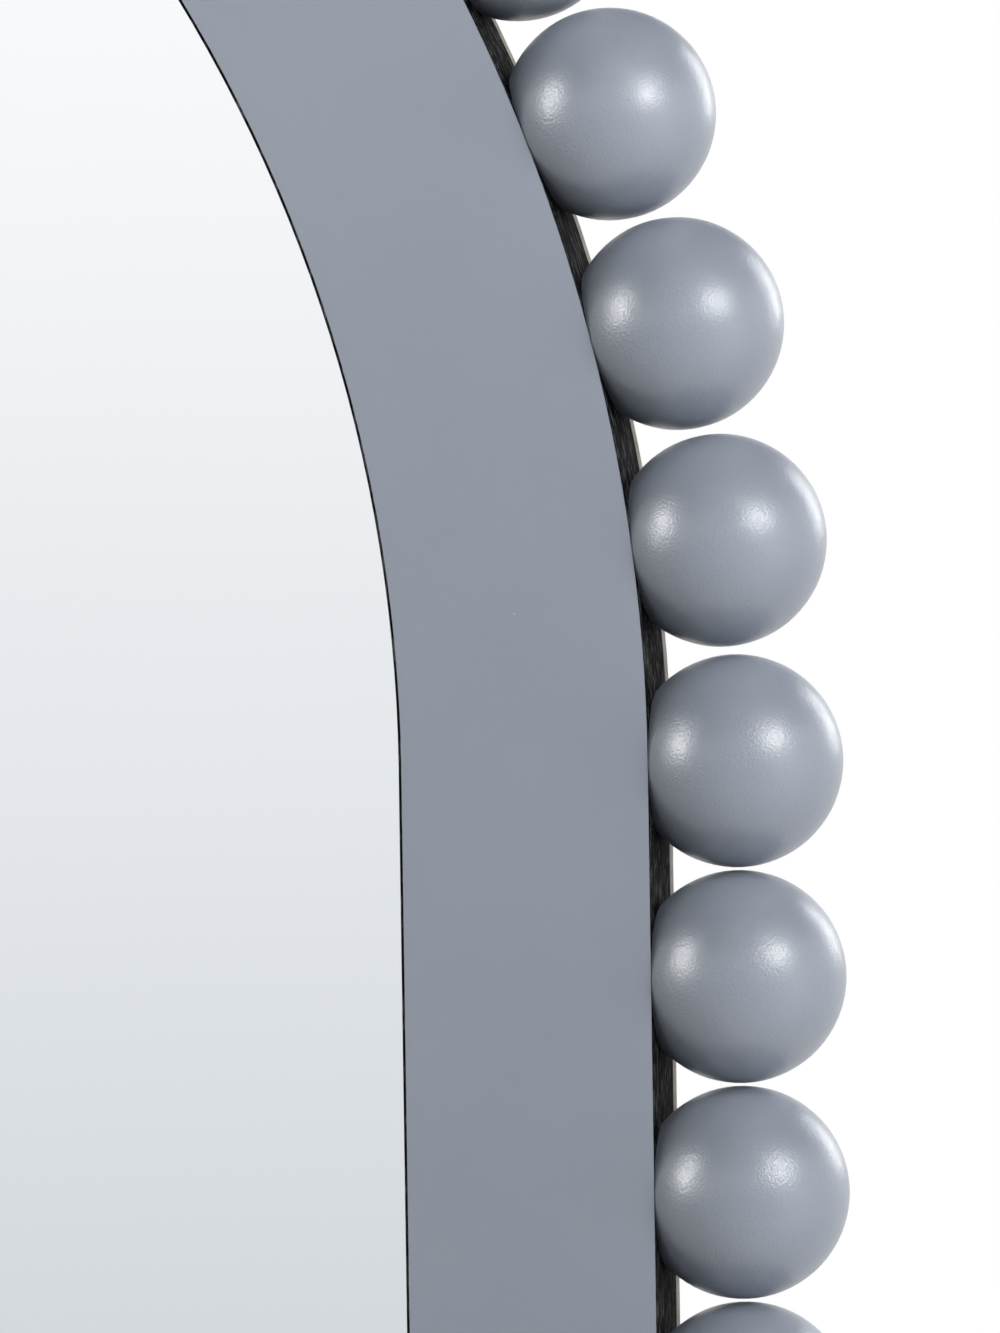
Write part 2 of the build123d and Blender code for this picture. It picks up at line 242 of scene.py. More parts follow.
def paint_skin_group():
    """Brushed paint: clouds of thin paint, an orange-peel skin, sparse pinholes and dust."""
    name = "Paint skin"
    if name in bpy.data.node_groups:
        return bpy.data.node_groups[name]
    takes = {label: "colour" for label in ("Paint", "Thin paint", "Pinhole", "Dust")} | {"Peel": "value"}
    gives = {"Color": "colour", "Roughness": "value", "Height": "value"}
    tree, given, out = new_group(name, takes, gives)
    point = object_point(tree)
    clouds = noise(tree, point, 28.0, 3.0, 0.55)
    cloudy = blend(tree, spread(tree, clouds, 0.35, 0.8, 0.0, 0.4), given["Paint"], given["Thin paint"])
    cells = add_node(tree, "ShaderNodeTexVoronoi", {"Vector": point, "Scale": 75.0})
    pick = add_node(tree, "ShaderNodeSeparateColor", {"Color": cells.outputs["Color"]}).outputs
    size = spread(tree, pick[0], 0.5, 1.0, 0.0, 0.026)
    inside = math(tree, "LESS_THAN", cells.outputs["Distance"], size)
    speck = blend(tree, math(tree, "GREATER_THAN", pick[1], 0.35), given["Pinhole"], given["Dust"])
    tree.links.new(blend(tree, math(tree, "MULTIPLY", inside, 0.7), cloudy, speck), out["Color"])
    peel = noise(tree, point, 1700.0, 2.0, 0.5)
    brush = noise(tree, point, 320.0, 3.0, 0.6)
    skin = math(tree, "ADD", peel, math(tree, "MULTIPLY", brush, 0.8))
    raised = math(tree, "MULTIPLY", skin, given["Peel"])
    tree.links.new(math(tree, "SUBTRACT", raised, math(tree, "MULTIPLY", inside, 0.6)), out["Height"])
    tree.links.new(spread(tree, brush, 0.3, 0.7, 0.29, 0.37), out["Roughness"])
    return tree


def grain_group():
    """Wood grain: noise drawn out along a line that leans by Turn from upright."""
    name = "Wood grain"
    if name in bpy.data.node_groups:
        return bpy.data.node_groups[name]
    takes = {"Turn": "value", "Fineness": "value", "Stretch": "value"}
    tree, given, out = new_group(name, takes, {"Grain": "value", "Pores": "value"})
    lean = {"Vector": object_point(tree), "Angle": given["Turn"]}
    turned = add_node(tree, "ShaderNodeVectorRotate", lean, rotation_type="Y_AXIS")
    draw = add_node(tree, "ShaderNodeCombineXYZ", {"X": 1.0, "Y": 1.0, "Z": given["Stretch"]}).outputs[0]
    drawn = add_node(
        tree, "ShaderNodeVectorMath", {0: turned.outputs[0], 1: draw}, operation="MULTIPLY"
    ).outputs[0]
    tree.links.new(noise(tree, drawn, given["Fineness"], 4.0, 0.65), out["Grain"])
    fine = math(tree, "MULTIPLY", given["Fineness"], 2.7)
    tree.links.new(noise(tree, drawn, fine, 2.0, 0.5), out["Pores"])
    return tree


def speckle_group():
    """Two colours mixed by fine noise, with the same noise as a height."""
    name = "Speckle"
    if name in bpy.data.node_groups:
        return bpy.data.node_groups[name]
    takes = {"Base": "colour", "Fleck": "colour", "Fineness": "value"}
    tree, given, out = new_group(name, takes, {"Color": "colour", "Height": "value"})
    point = object_point(tree)
    fine = noise(tree, point, given["Fineness"], 4.0, 0.7)
    broad = noise(tree, point, math(tree, "MULTIPLY", given["Fineness"], 0.08), 2.0, 0.5)
    both = math(tree, "ADD", math(tree, "MULTIPLY", fine, 0.7), math(tree, "MULTIPLY", broad, 0.3))
    tree.links.new(blend(tree, spread(tree, both, 0.38, 0.64), given["Base"], given["Fleck"]), out["Color"])
    tree.links.new(fine, out["Height"])
    return tree


def use_group(tree, group, inputs):
    """Places a group in a material with its own values."""
    node = tree.nodes.new("ShaderNodeGroup")
    node.node_tree = group
    for name, value in inputs.items():
        if isinstance(value, bpy.types.NodeSocket):
            tree.links.new(value, node.inputs[name])
        elif node.inputs[name].type == "RGBA":
            node.inputs[name].default_value = (*tuple(value), 1.0)
        else:
            node.inputs[name].default_value = value
    return node.outputs


def new_finish(name, roughness, metallic=0.0, specular=0.5):
    """A material with its plain constants set on the shader itself."""
    material = bpy.data.materials.new(name)
    material.use_nodes = True
    shader = material.node_tree.nodes["Principled BSDF"]
    shader.inputs["Roughness"].default_value = roughness
    shader.inputs["Metallic"].default_value = metallic
    shader.inputs["Specular IOR Level"].default_value = specular
    return material, material.node_tree, shader


def feed(tree, shader, **sources):
    """Links colours, masks and a bump to the shader. Height comes with its depth in metres."""
    names = {"colour": "Base Color", "roughness": "Roughness", "metallic": "Metallic"}
    for key, socket in names.items():
        if key in sources:
            tree.links.new(sources[key], shader.inputs[socket])
    if "height" in sources:
        bump = add_node(tree, "ShaderNodeBump", {"Height": sources["height"], "Distance": sources["depth"]})
        tree.links.new(bump.outputs[0], shader.inputs["Normal"])


def paint_values(colours, peel):
    """Values of the paint skin for one material."""
    return {
        "Paint": colours.paint,
        "Thin paint": colours.paint_worn,
        "Pinhole": colours.pinhole,
        "Dust": colours.dust,
        "Peel": peel,
    }


def ball_finish(colours):
    """Satin grey-blue paint of the balls."""
    material, tree, shader = new_finish("Ball paint", 0.33, specular=1.0)
    skin = use_group(tree, paint_skin_group(), paint_values(colours, 1.0))
    tint, dull, height = (skin[name] for name in ("Color", "Roughness", "Height"))
    feed(tree, shader, colour=tint, roughness=dull, height=height, depth=0.00009)
    return material


def face_finish(colours):
    """Smooth grey-blue paint of the face."""
    material, tree, shader = new_finish("Face paint", 0.4, specular=0.9)
    skin = use_group(tree, paint_skin_group(), paint_values(colours, 0.35))
    feed(tree, shader, colour=skin["Color"], height=skin["Height"], depth=0.00004)
    return material


def black_finish(name, colours, turn):
    """Rough black stained wood whose grain leans by a turn from upright, with painted glints on its lighter
    ridges.
    """
    material, tree, shader = new_finish(name, 0.75, specular=0.02)
    values = {"Turn": turn, "Fineness": 950.0, "Stretch": 0.17}
    grain = use_group(tree, grain_group(), values)
    # Lighter grain ridges: grain tone and painted glints, as the specular is turned down to 0.02
    tint = blend(tree, spread(tree, grain["Grain"], 0.53, 0.64), colours.black, colours.black_ridge_glint)
    dull = spread(tree, grain["Pores"], 0.3, 0.7, 0.6, 0.9)
    height = math(tree, "ADD", grain["Grain"], math(tree, "MULTIPLY", grain["Pores"], 0.35))
    feed(tree, shader, colour=tint, roughness=dull, height=height, depth=0.0012)
    return material


def dowel_finish(colours):
    """Raw beech."""
    material, tree, shader = new_finish("Beech", 0.6, specular=0.3)
    grain = use_group(tree, grain_group(), {"Turn": 0.0, "Fineness": 700.0, "Stretch": 0.2})
    tint = blend(tree, spread(tree, grain["Grain"], 0.4, 0.7), colours.beech, colours.beech_dark)
    feed(tree, shader, colour=tint, height=grain["Pores"], depth=0.0001)
    return material


def speckled_finish(name, base, fleck, fineness, depth, roughness, metallic=0.0):
    """A finish that is two colours in fine noise, with a fine bump."""
    material, tree, shader = new_finish(name, roughness, metallic, specular=0.15 + 0.35 * metallic)
    values = {"Base": base, "Fleck": fleck, "Fineness": fineness}
    skin = use_group(tree, speckle_group(), values)
    feed(tree, shader, colour=skin["Color"], height=skin["Height"], depth=depth)
    return material


def mirror_finish(colours):
    """Silvered glass: mirror in front with a trace of haze, grey backing paint behind."""
    material, tree, shader = new_finish("Silvered glass", 0.02, 1.0)
    point = object_point(tree)
    depth = add_node(tree, "ShaderNodeSeparateXYZ", {"Vector": point}).outputs["Y"]
    rear = spread(tree, depth, glass_high.y - 0.0012, glass_high.y - 0.0010)
    front = math(tree, "SUBTRACT", 1.0, rear)
    clouds = noise(tree, point, 5.0, 3.0, 0.5)
    veil = spread(tree, clouds, 0.3, 0.75, 0.0, 0.035)
    silver = blend(tree, veil, colours.silver, colours.haze)
    dull = spread(tree, rear, 0.0, 1.0, 0.015, 0.6)
    feed(tree, shader, colour=blend(tree, rear, silver, colours.backing), roughness=dull, metallic=front)
    return material


def wear(node_name, material):
    """Gives a node of the frame its finish."""
    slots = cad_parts[node_name].material_slots
    if not slots:
        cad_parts[node_name].data.materials.append(material)
    for slot in slots:
        slot.material = material


def new_piece(node_name, points, faces, material):
    """A new piece from whole arrays of points and faces, in place of a node of the frame."""
    mesh = bpy.data.meshes.new(f"smooth_{node_name}")
    mesh.from_pydata(points, [], faces)
    mesh.polygons.foreach_set("use_smooth", np.ones(len(faces), bool))
    mesh.set_sharp_from_angle(angle=radians(30))
    mesh.materials.append(material)
    mesh.update()
    piece = bpy.data.objects.new(mesh.name, mesh)
    bpy.context.scene.collection.objects.link(piece)
    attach(piece, "frame")
    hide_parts(node_name)
    return piece


def ball_section(radius, reach, hole_radius, hole_depth, bands):
    """Half section of a ball as distances from its axis and heights along it.

    From the outer pole it is the circle r = R sin t, h = R cos t down to the seat, or to the mouth of
    the hole where the seat lies outside the ball. Then it goes straight in to the hole, along the
    hole's wall and over the hole's end to the axis.
    """
    mouth = sqrt(radius**2 - hole_radius**2)
    seat = min(reach, mouth)
    turn = np.linspace(0.0, np.arccos(-seat / radius), bands + 1)
    arc = np.stack([radius * np.sin(turn), radius * np.cos(turn)], axis=1)
    hole_end = hole_depth - seat_reach
    inner = [(hole_radius, hole_end), (0.0, hole_end)]
    if seat < mouth:
        inner.insert(0, (hole_radius, -seat))
    return np.concatenate([arc, np.array(inner)])


def turned_surfaces(section, centres, ways, facets):
    """Closed surfaces of one half section turned about many axes.

    A point is c + h n + r (cos a u + sin a w), where n is the way out of the frame, u is the
    frame's depth and w = n x u. Both ends of the section lie on the axis and close in one point.
    """
    angle = np.linspace(0.0, 2 * pi, facets, endpoint=False)
    across = np.array([0.0, 1.0, 0.0])
    side = np.cross(ways, across)
    round_about = np.cos(angle)[None, :, None] * across + np.sin(angle)[None, :, None] * side[:, None, :]
    rings = section[1:-1]
    body = (
        centres[:, None, None, :]
        + rings[None, :, 1, None, None] * ways[:, None, None, :]
        + rings[None, :, 0, None, None] * round_about[:, None, :, :]
    )
    poles = centres[:, None, :] + section[[0, -1], 1][None, :, None] * ways[:, None, :]
    count = len(rings) * facets
    points = np.concatenate([poles, body.reshape(len(centres), count, 3)], axis=1)
    here = np.arange(facets)
    after = (here + 1) % facets
    start = 2 + facets * np.arange(len(rings) - 1)[:, None]
    upper, upper_after = start + here, start + after
    quads = np.stack([upper + facets, upper_after + facets, upper_after, upper], axis=2).reshape(-1, 4)
    last = 2 + facets * (len(rings) - 1)
    first_fan = np.stack([np.zeros(facets, int), 2 + here, 2 + after], axis=1)
    last_fan = np.stack([np.ones(facets, int), last + after, last + here], axis=1)
    shift = (2 + count) * np.arange(len(centres))
    faces = (quads[None] + shift[:, None, None]).reshape(-1, 4).tolist()
    for fan in (first_fan, last_fan):
        faces += (fan[None] + shift[:, None, None]).reshape(-1, 3).tolist()
    return points.reshape(-1, 3), faces


def arch_stations(first, last):
    """Points round the arch's outer edge from one turn to another, and the way inwards at each.

    A point is (-R cos t, spring + R sin t), and the way inwards is (cos t, -sin t).
    """
    turn = np.linspace(first, last, 2 + int((last - first) / arch_facet))
    inward = np.stack([np.cos(turn), -np.sin(turn)], axis=1)
    return [0.0, spring_z] - half_width * inward, inward


def frame_stations():
    """Points round the whole outer edge of the frame, and the way inwards, mitred at the corners."""
    edge, inward = arch_stations(0.0, pi)
    corners = [(half_width, foot_z), (-half_width, foot_z)]
    return np.concatenate([edge, corners]), np.concatenate([inward, [(-1.0, 1.0), (1.0, 1.0)]])


def carried(section, edge, inward, closed):
    """Surface of a closed section of insets and depths carried along the frame's edge.

    A point is edge + inset * inward, at y = -depth. An open run is closed by its two end sections.
    """
    section = np.array(section)
    flat = edge[:, None, :] + section[None, :, :1] * inward[:, None, :]
    depth = np.broadcast_to(-section[None, :, 1], flat.shape[:2])
    points = np.stack([flat[:, :, 0], depth, flat[:, :, 1]], axis=2).reshape(-1, 3)
    stations, around = flat.shape[:2]
    run = np.arange(stations if closed else stations - 1)[:, None]
    here, after = np.arange(around), (np.arange(around) + 1) % around
    this_ring, next_ring = run * around, (run + 1) % stations * around
    corners = (this_ring + here, this_ring + after, next_ring + after, next_ring + here)
    faces = np.stack(corners, axis=2).reshape(-1, 4).tolist()
    if not closed:
        faces.append(here[::-1].tolist())
        faces.append((here + (stations - 1) * around).tolist())
    return points, faces


def capped(loops, index, facing):
    """Triangles of a flat area inside the first loop and outside the others, all facing one way in y."""
    loose = [[Vector((x, z, 0.0)) for x, z in loop] for loop in loops]
    triangles = np.array(tessellate_polygon(loose))
    flat = np.concatenate(loops)[triangles]
    one, two = flat[:, 1] - flat[:, 0], flat[:, 2] - flat[:, 0]
    turned = (one[:, 0] * two[:, 1] - one[:, 1] * two[:, 0]) * facing > 0
    triangles[turned] = triangles[turned][:, ::-1]
    return index[triangles].tolist()


def drilled_panel(centres, cuts, facets=24):
    """Arched panel with turned holes, each given by its depths and radii from the rear to the front.

    Outer wall: the frame's edge at both depths. Hole wall: c + r (cos a, sin a) at each depth.
    """
    outline = frame_stations()[0]
    angle = np.linspace(0.0, 2 * pi, facets, endpoint=False)
    circle = np.stack([np.cos(angle), np.sin(angle)], axis=1)
    depths, radii = np.array(cuts).T
    rings = centres[:, None, None, :] + radii[None, :, None, None] * circle
    levels = np.broadcast_to(-depths[None, :, None], rings.shape[:3])
    rim, count, cut_count = len(outline), len(centres), len(cuts)
    rear, front = (np.insert(outline, 1, -depth, axis=1) for depth in (depths[0], depths[-1]))
    walls = np.stack([rings[..., 0], levels, rings[..., 1]], axis=3)
    points = np.concatenate([rear, front, walls.reshape(-1, 3)])
    at = 2 * rim + np.arange(count * cut_count * facets).reshape(count, cut_count, facets)
    near, far = at[:, :-1], at[:, 1:]
    near_next, far_next = np.roll(near, -1, axis=2), np.roll(far, -1, axis=2)
    hole_walls = np.stack([near, far, far_next, near_next], axis=3).reshape(-1, 4)
    here = np.arange(rim)
    after = np.roll(here, -1)
    outer_wall = np.stack([here, here + rim, after + rim, after], axis=1)
    faces = outer_wall.tolist() + hole_walls.tolist()
    for level, start, facing in ((0, 0, 1), (-1, rim, -1)):
        loops = [outline, *rings[:, level]]
        index = np.concatenate([np.arange(start, start + rim), at[:, level].reshape(-1)])
        faces += capped(loops, index, facing)
    return points, faces


def evenly(low, high, most):
    """Middles of equal stretches between two places, none longer than the most."""
    count = ceil((high - low) / most)
    return low + (np.arange(count) + 0.5) * (high - low) / count


def panel_screw_places(sizes):
    """Centres of the back panel's screws, member by member."""
    inset, spacing = sizes.screw_inset, sizes.screw_spacing
    run = half_width - inset
    rail_half = half_width - sizes.band_width
    across = evenly(-rail_half, rail_half, spacing)
    places = [np.stack([across, np.full_like(across, foot_z + inset)], axis=1)]
    turns, arch_joint_z = arch_joints(sizes.ball_gap)
    up = evenly(foot_z, arch_joint_z, spacing)
    for side in (-1, 1):
        places.append(np.stack([np.full_like(up, side * run), up], axis=1))
    for start, end in zip(turns, turns[1:]):
        turn = evenly(start, end, spacing / run)
        places.append(np.stack([-run * np.cos(turn), spring_z + run * np.sin(turn)], axis=1))
    return np.concatenate(places)


def arch_joints(gap):
    """Turns of the arch joints, with the spring lines for the lowest two, and the height of those two."""
    steps, ends = arch_step_ends(gap)
    drop = spring_z - foot_z + seat_reach
    side_pitch = drop / int(drop / (2 * ball_radius + gap))
    return np.clip(ends, 0, steps) * pi / steps, spring_z - side_pitch / 2


def straight_rows(gap):
    """Centres and ways out of the balls along the sides and the bottom, by row."""
    pitch = 2 * ball_radius + gap
    drop = spring_z - foot_z + seat_reach
    side_steps = int(drop / pitch)
    bottom_steps = int(2 * ball_line / pitch)
    heights = spring_z - drop * np.arange(1, side_steps) / side_steps
    widths = -ball_line + 2 * ball_line * np.arange(1, bottom_steps) / bottom_steps
    rows = {}
    for name, side in (("left_side", -1), ("right_side", 1)):
        centres = np.stack([np.full_like(heights, side * ball_line), heights], axis=1)
        rows[name] = (centres, np.tile([float(side), 0.0], (len(heights), 1)))
    low = np.full_like(widths, foot_z - seat_reach)
    rows["bottom"] = (np.stack([widths, low], axis=1), np.tile([0.0, -1.0], (len(widths), 1)))
    return rows


def arch_step_ends(gap):
    """Number of steps round the arch, and where its members meet in those steps."""
    steps = int(pi * ball_line / (2 * ball_radius + gap))
    inner = [round(number * steps / arch_parts - 0.5) + 0.5 for number in range(1, arch_parts)]
    return steps, [-0.5, *inner, steps + 0.5]


def arch_rows(gap):
    """Centres and ways out of the balls round the arch, by the member that they sit on."""
    steps, ends = arch_step_ends(gap)
    rows = {}
    for number in range(arch_parts):
        turn = pi * np.arange(ceil(ends[number]), ceil(ends[number + 1])) / steps
        ways = np.stack([-np.cos(turn), np.sin(turn)], axis=1)
        rows[f"arch_{number + 1}"] = (ways * ball_line + [0.0, spring_z], ways)
    return rows


def in_depth(plane_points, depth):
    """Points of x and z set at one depth y."""
    return np.insert(plane_points, 1, depth, axis=1)


def member_turns(gap):
    """Turn of the grain of each core member, along its own length."""
    turns = {name: 0.0 for name in upright_members}
    turns.update({name: pi / 2 for name in level_members})
    steps, ends = arch_step_ends(gap)
    for number in range(arch_parts):
        middle = pi * (ends[number] + ends[number + 1]) / 2 / steps
        turns[f"arch_segment_{number + 1}"] = -middle
    return turns


class MIRROR_OT_balls(bpy.types.Operator):
    """Turn the painted balls of the border, row by row"""

    bl_idname = "mirror.balls"
    bl_label = "Ball border"

    def execute(self, context):
        sizes = context.scene.mirror_sizes
        paint = ball_finish(context.scene.mirror_colours)
        shared = (sizes.hole_radius, sizes.hole_depth, sizes.bands)
        seated = ball_section(ball_radius, seat_reach, *shared)
        for row, (centres, ways) in (straight_rows(sizes.ball_gap) | arch_rows(sizes.ball_gap)).items():
            place = (in_depth(centres, ball_y), in_depth(ways, 0.0))
            points, faces = turned_surfaces(seated, *place, sizes.facets)
            if row == "bottom":
                corner = ball_section(ball_radius, corner_reach, *shared)
                slant = sqrt(0.5)
                ends = np.array([[side * ball_line, foot_z - seat_reach] for side in (-1, 1)])
                slants = np.array([[side * slant, -slant] for side in (-1, 1)])
                place = (in_depth(ends, ball_y), in_depth(slants, 0.0))
                more_points, more_faces = turned_surfaces(corner, *place, sizes.facets)
                faces += [[index + len(points) for index in face] for face in more_faces]
                points = np.concatenate([points, more_points])
            new_piece(f"balls_{row}", points, faces, paint)
        return {"FINISHED"}


class MIRROR_OT_face(bpy.types.Operator):
    """Carry the face board round the frame, grey-blue in front and black on its edges"""

    bl_idname = "mirror.face"
    bl_label = "Face board"

    def execute(self, context):
        sizes = context.scene.mirror_sizes
        rear, front, width, ease = -face_high.y, -face_low.y, sizes.band_width, sizes.face_ease
        section = [(0.0, rear), (0.0, front), (width - ease, front), (width, front - ease), (width, rear)]
        points, faces = carried(section, *frame_stations(), closed=True)
        colours = context.scene.mirror_colours
        piece = new_piece("face_board", points, faces, face_finish(colours))
        piece.data.materials.append(black_finish("Black edge", colours, 0.0))
        front_side = 1
        on_edge = np.arange(len(faces)) % len(section) != front_side
        piece.data.polygons.foreach_set("material_index", on_edge.astype(np.int32))
        return {"FINISHED"}


class MIRROR_OT_core(bpy.types.Operator):
    """Round the arch members and stain every core member black, each with its own grain"""

    bl_idname = "mirror.core"
    bl_label = "Core members"

    def execute(self, context):
        sizes = context.scene.mirror_sizes
        colours = context.scene.mirror_colours
        stains = {
            name: black_finish(f"Black grain {name}", colours, turn)
            for name, turn in member_turns(sizes.ball_gap).items()
        }
        for name in (*upright_members, *level_members):
            wear(name, stains[name])
        rear, front, glass_front = -panel_low.y, -face_high.y, -glass_low.y
        width, land = sizes.band_width, sizes.band_width - sizes.rebate_width
        outer = [(0.0, rear), (0.0, front)]
        rebate = [(width, front), (width, glass_front), (land, glass_front), (land, rear)]
        section = outer + rebate
        turns, low_z = arch_joints(sizes.ball_gap)
        for number in range(arch_parts):
            edge, inward = arch_stations(turns[number], turns[number + 1])
            if number == 0:
                edge = np.concatenate([[(-half_width, low_z)], edge])
                inward = np.concatenate([inward[:1], inward])
            if number == arch_parts - 1:
                edge = np.concatenate([edge, [(half_width, low_z)]])
                inward = np.concatenate([inward, inward[-1:]])
            name = f"arch_segment_{number + 1}"
            new_piece(name, *carried(section, edge, inward, closed=False), stains[name])
        return {"FINISHED"}


class MIRROR_OT_glass(bpy.types.Operator):
    """Silver the mirror glass, and finish what holds it"""

    bl_idname = "mirror.glass"
    bl_label = "Mirror glass"

    def execute(self, context):
        colours = context.scene.mirror_colours
        wear("mirror_glass", mirror_finish(colours))
        wear("foam_strip", speckled_finish("Foam", colours.foam, colours.foam_cell, 1500.0, 0.0003, 0.9))
        blocks = speckled_finish("Block rubber", colours.rubber, colours.rubber_dust, 900.0, 0.0001, 0.8)
        for side in ("left", "right"):
            wear(f"setting_block_{side}", blocks)
        return {"FINISHED"}


class MIRROR_OT_back(bpy.types.Operator):
    """Finish the back panel with its screw holes, and its dowels and bumpers"""

    bl_idname = "mirror.back"
    bl_label = "Back panel and bumpers"

    def execute(self, context):
        colours = context.scene.mirror_colours
        sizes = context.scene.mirror_sizes
        board = speckled_finish("Fibreboard", colours.board, colours.board_fibre, 520.0, 0.00015, 0.85)
        rear, front = -panel_high.y, -panel_low.y
        cuts = [
            (rear, sizes.head_hole_radius),
            (rear + sizes.head_hole_depth, sizes.screw_hole_radius),
            (front, sizes.screw_hole_radius),
        ]
        new_piece("back_panel", *drilled_panel(panel_screw_places(sizes), cuts), board)
        beech = dowel_finish(colours)
        for name in ("frame_dowels", "ball_dowels"):
            wear(name, beech)
        rubber = speckled_finish("Bumper rubber", colours.rubber, colours.rubber_dust, 800.0, 0.0001, 0.75)
        for place in ("bottom_left", "bottom_right", "top_left", "top_right"):
            wear(f"bumper_{place}", rubber)
        return {"FINISHED"}


class MIRROR_OT_hangers(bpy.types.Operator):
    """Plate the hangers, their rings and every screw"""

    bl_idname = "mirror.hangers"
    bl_label = "Hangers and screws"

    def execute(self, context):
        colours = context.scene.mirror_colours
        zinc = speckled_finish("Zinc plate", colours.steel, colours.steel_dull, 450.0, 0.00003, 0.34, 1.0)
        for side in ("left", "right"):
            wear(f"{side}_hanger_strap", zinc)
            wear(f"{side}_hanger_ring", zinc)
        for name in ("panel_screws", "hanger_screws", "bumper_screws"):
            wear(name, zinc)
        return {"FINISHED"}


def flat_sheet(name, corners, material):
    """A sheet between four corners, part of the stage."""
    mesh = bpy.data.meshes.new(name)
    mesh.from_pydata(corners, [], [(0, 1, 2, 3)])
    mesh.materials.append(material)
    sheet = bpy.data.objects.new(name, mesh)
    bpy.context.scene.collection.objects.link(sheet)
    return sheet


def level_square(reach, height):
    """Corners of a level square round the origin."""
    return [(x * reach, y * reach, height) for x, y in ((-1, -1), (1, -1), (1, 1), (-1, 1))]


def seen_directly(tree):
    """1 for rays from the camera, or from a mirror or clear glass, else 0."""
    path = add_node(tree, "ShaderNodeLightPath").outputs
    either = math(tree, "MAXIMUM", path["Is Camera Ray"], path["Is Glossy Ray"])
    return math(tree, "MAXIMUM", either, path["Is Transmission Ray"])


def lamp(name, azimuth, elevation, distance, size, level, aim, beam=180, in_gloss=True, in_colour=True):
    """A soft lamp round an aim point, with the degrees that its beam spreads.

    Level is the share of its own colour that a dull sheet at the aim point, square to the lamp, shows
    when the beam spreads freely. A lamp that isn't in gloss lights dull colour alone, and one that
    isn't in colour gives highlights alone.
    """
    light = bpy.data.lights.new(name, "AREA")
    light.shape = "RECTANGLE"
    light.size, light.size_y = size
    light.spread = radians(beam)
    light.energy = level * (pi * distance) ** 2
    turn, rise = radians(azimuth), radians(elevation)
    way = Vector((sin(turn) * cos(rise), -cos(turn) * cos(rise), sin(rise)))
    fixture = bpy.data.objects.new(name, light)
    fixture.location = aim + way * distance
    fixture.rotation_euler = way.to_track_quat("Z", "Y").to_euler()
    fixture.visible_camera = False
    fixture.visible_glossy = in_gloss
    fixture.visible_diffuse = in_colour
    bpy.context.scene.collection.objects.link(fixture)


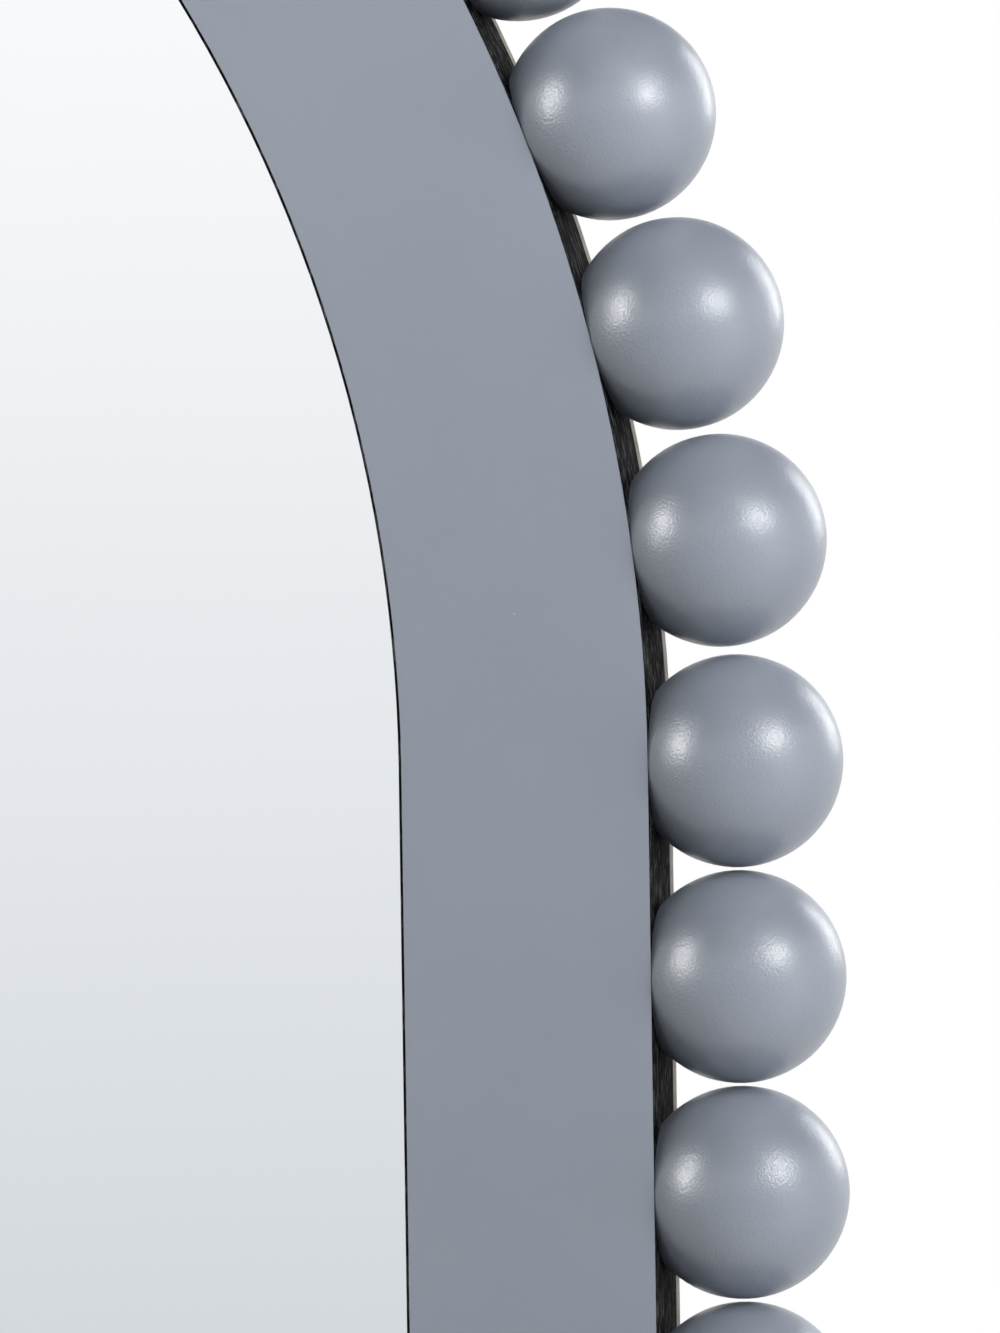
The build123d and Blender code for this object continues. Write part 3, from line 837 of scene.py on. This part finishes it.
class MIRROR_OT_stage(bpy.types.Operator):
    """Set the floor, the lamps, the card that the mirror shows, and the camera"""

    bl_idname = "mirror.stage"
    bl_label = "Stage"

    def execute(self, context):
        stage = context.scene.mirror_stage
        aim = Vector(stage.aim)
        self.world(context, stage)
        self.floor(stage)
        self.card(aim)
        self.flag()
        for *place, in_gloss, in_colour in studio_lamps:
            lamp(*place, aim, in_gloss=in_gloss, in_colour=in_colour)
        arch_middle = Vector((0.10, aim.y, 0.55))
        lamp("Grid lamp", 15, 38, 1.8, (1.6, 0.3), 0.05, arch_middle, beam=36, in_gloss=False)
        self.camera(context, stage, aim)
        context.scene.view_settings.view_transform = "Standard"
        return {"FINISHED"}

    def world(self, context, stage):
        """White where it is seen, and a plain level of light elsewhere."""
        world = bpy.data.worlds.new("Studio")
        world.use_nodes = True
        tree = world.node_tree
        tree.nodes.clear()
        light = add_node(tree, "ShaderNodeBackground", {"Strength": stage.ambient})
        white = add_node(tree, "ShaderNodeBackground", {"Strength": 1.0})
        for node in (light, white):
            node.inputs["Color"].default_value = (1.0, 1.0, 1.0, 1.0)
        shares = {0: seen_directly(tree), 1: light.outputs[0], 2: white.outputs[0]}
        mix = add_node(tree, "ShaderNodeMixShader", shares)
        add_node(tree, "ShaderNodeOutputWorld", {"Surface": mix.outputs[0]})
        context.scene.world = world

    def floor(self, stage):
        """A wide pale floor, lifted towards white where it is seen, and white in the distance."""
        material, tree, shader = new_finish("Floor", 0.8, specular=0.0)
        shader.inputs["Emission Color"].default_value = (1.0, 1.0, 1.0, 1.0)
        reach = add_node(tree, "ShaderNodeVectorMath", {0: object_point(tree)}, operation="LENGTH")
        far = spread(tree, reach.outputs["Value"], 1.5, 3.2)
        feed(tree, shader, colour=blend(tree, far, stage.floor, (0.0, 0.0, 0.0)))
        lift = spread(tree, far, 0.0, 1.0, 0.38, 1.0)
        tree.links.new(math(tree, "MULTIPLY", seen_directly(tree), lift), shader.inputs["Emission Strength"])
        flat_sheet("floor", level_square(120.0, floor_z), material)

    def card(self, aim):
        """A card in front that only the mirror and gloss show: white, then grey, then white at the floor."""
        material, glow = self.glow("Card")
        tree = material.node_tree
        height = add_node(tree, "ShaderNodeSeparateXYZ", {"Vector": object_point(tree)}).outputs["Z"]
        share = spread(tree, height, aim.z - 0.31, aim.z + 0.31)
        grey, white = (0.71, 0.74, 0.77), (1.01, 1.01, 1.02)
        near_floor = spread(tree, height, floor_z, aim.z - 0.6, 1.0, 0.0)
        shade = blend(tree, near_floor, blend(tree, share, grey, white), (1.0, 1.0, 1.0))
        tree.links.new(shade, glow.inputs["Color"])
        ahead, wide, top = -3.0, 4.0, 3.0
        corners = ((-wide, floor_z), (wide, floor_z), (wide, top), (-wide, top))
        self.gloss_only(flat_sheet("card", [(x, ahead, z) for x, z in corners], material))

    def flag(self):
        """A dark flag overhead that only gloss shows, so that the tops of the balls stay calm."""
        material, glow = self.glow("Flag")
        glow.inputs["Color"].default_value = (0.05, 0.05, 0.055, 1.0)
        self.gloss_only(flat_sheet("flag", level_square(3.0, 1.6), material))

    def glow(self, name):
        """A material that only glows, and its emission node."""
        material = bpy.data.materials.new(name)
        material.use_nodes = True
        tree = material.node_tree
        tree.nodes.clear()
        glow = add_node(tree, "ShaderNodeEmission")
        add_node(tree, "ShaderNodeOutputMaterial", {"Surface": glow.outputs[0]})
        return material, glow

    def gloss_only(self, sheet):
        """Shows a sheet in gloss and mirrors alone."""
        sheet.visible_camera = False
        sheet.visible_diffuse = False
        sheet.visible_shadow = False
        sheet.visible_transmission = False

    def camera(self, context, stage, aim):
        """A level long lens at the photograph's angle and lean."""
        data = bpy.data.cameras.new("Camera")
        data.lens = data.sensor_width * stage.distance * stage.pixels_per_metre / stage.picture_height
        data.clip_end = 300.0
        ahead = Vector((-sin(stage.azimuth), cos(stage.azimuth), 0.0))
        right = Vector((cos(stage.azimuth), sin(stage.azimuth), 0.0))
        up = Vector((0.0, 0.0, 1.0))
        lean_cos, lean_sin = cos(stage.roll), sin(stage.roll)
        axes = (right * lean_cos + up * lean_sin, up * lean_cos - right * lean_sin, -ahead)
        turn = Matrix(axes).transposed().to_4x4()
        camera = bpy.data.objects.new("Camera", data)
        camera.matrix_world = Matrix.Translation(aim - ahead * stage.distance) @ turn
        context.scene.collection.objects.link(camera)
        context.scene.camera = camera


steps_in_order = (
    MIRROR_OT_face,
    MIRROR_OT_core,
    MIRROR_OT_glass,
    MIRROR_OT_back,
    MIRROR_OT_hangers,
    MIRROR_OT_balls,
    MIRROR_OT_stage,
)
groups = {"mirror_sizes": MirrorSizes, "mirror_colours": MirrorColours, "mirror_stage": MirrorStage}


class MIRROR_PT_panel(bpy.types.Panel):
    """Sizes, colours and steps of the mirror"""

    bl_label = "Ball border mirror"
    bl_space_type = "VIEW_3D"
    bl_region_type = "UI"
    bl_category = "Mirror"

    def draw(self, context):
        for attribute, group in groups.items():
            box = self.layout.box()
            for name in group.__annotations__:
                box.prop(getattr(context.scene, attribute), name)
        for step in steps_in_order:
            self.layout.operator(step.bl_idname)


def register():
    """Registers the classes, and the settings on the scene."""
    for item in (*groups.values(), *steps_in_order, MIRROR_PT_panel):
        bpy.utils.register_class(item)
    for attribute, group in groups.items():
        setattr(bpy.types.Scene, attribute, PointerProperty(type=group))


def unregister():
    """Takes the settings and the classes away again."""
    for attribute in groups:
        delattr(bpy.types.Scene, attribute)
    for item in (MIRROR_PT_panel, *reversed(steps_in_order), *groups.values()):
        bpy.utils.unregister_class(item)


def main():
    """Runs every step in order."""
    register()
    for step in steps_in_order:
        family, name = step.bl_idname.split(".")
        getattr(getattr(bpy.ops, family), name)()


if __name__ == "__main__":
    main()
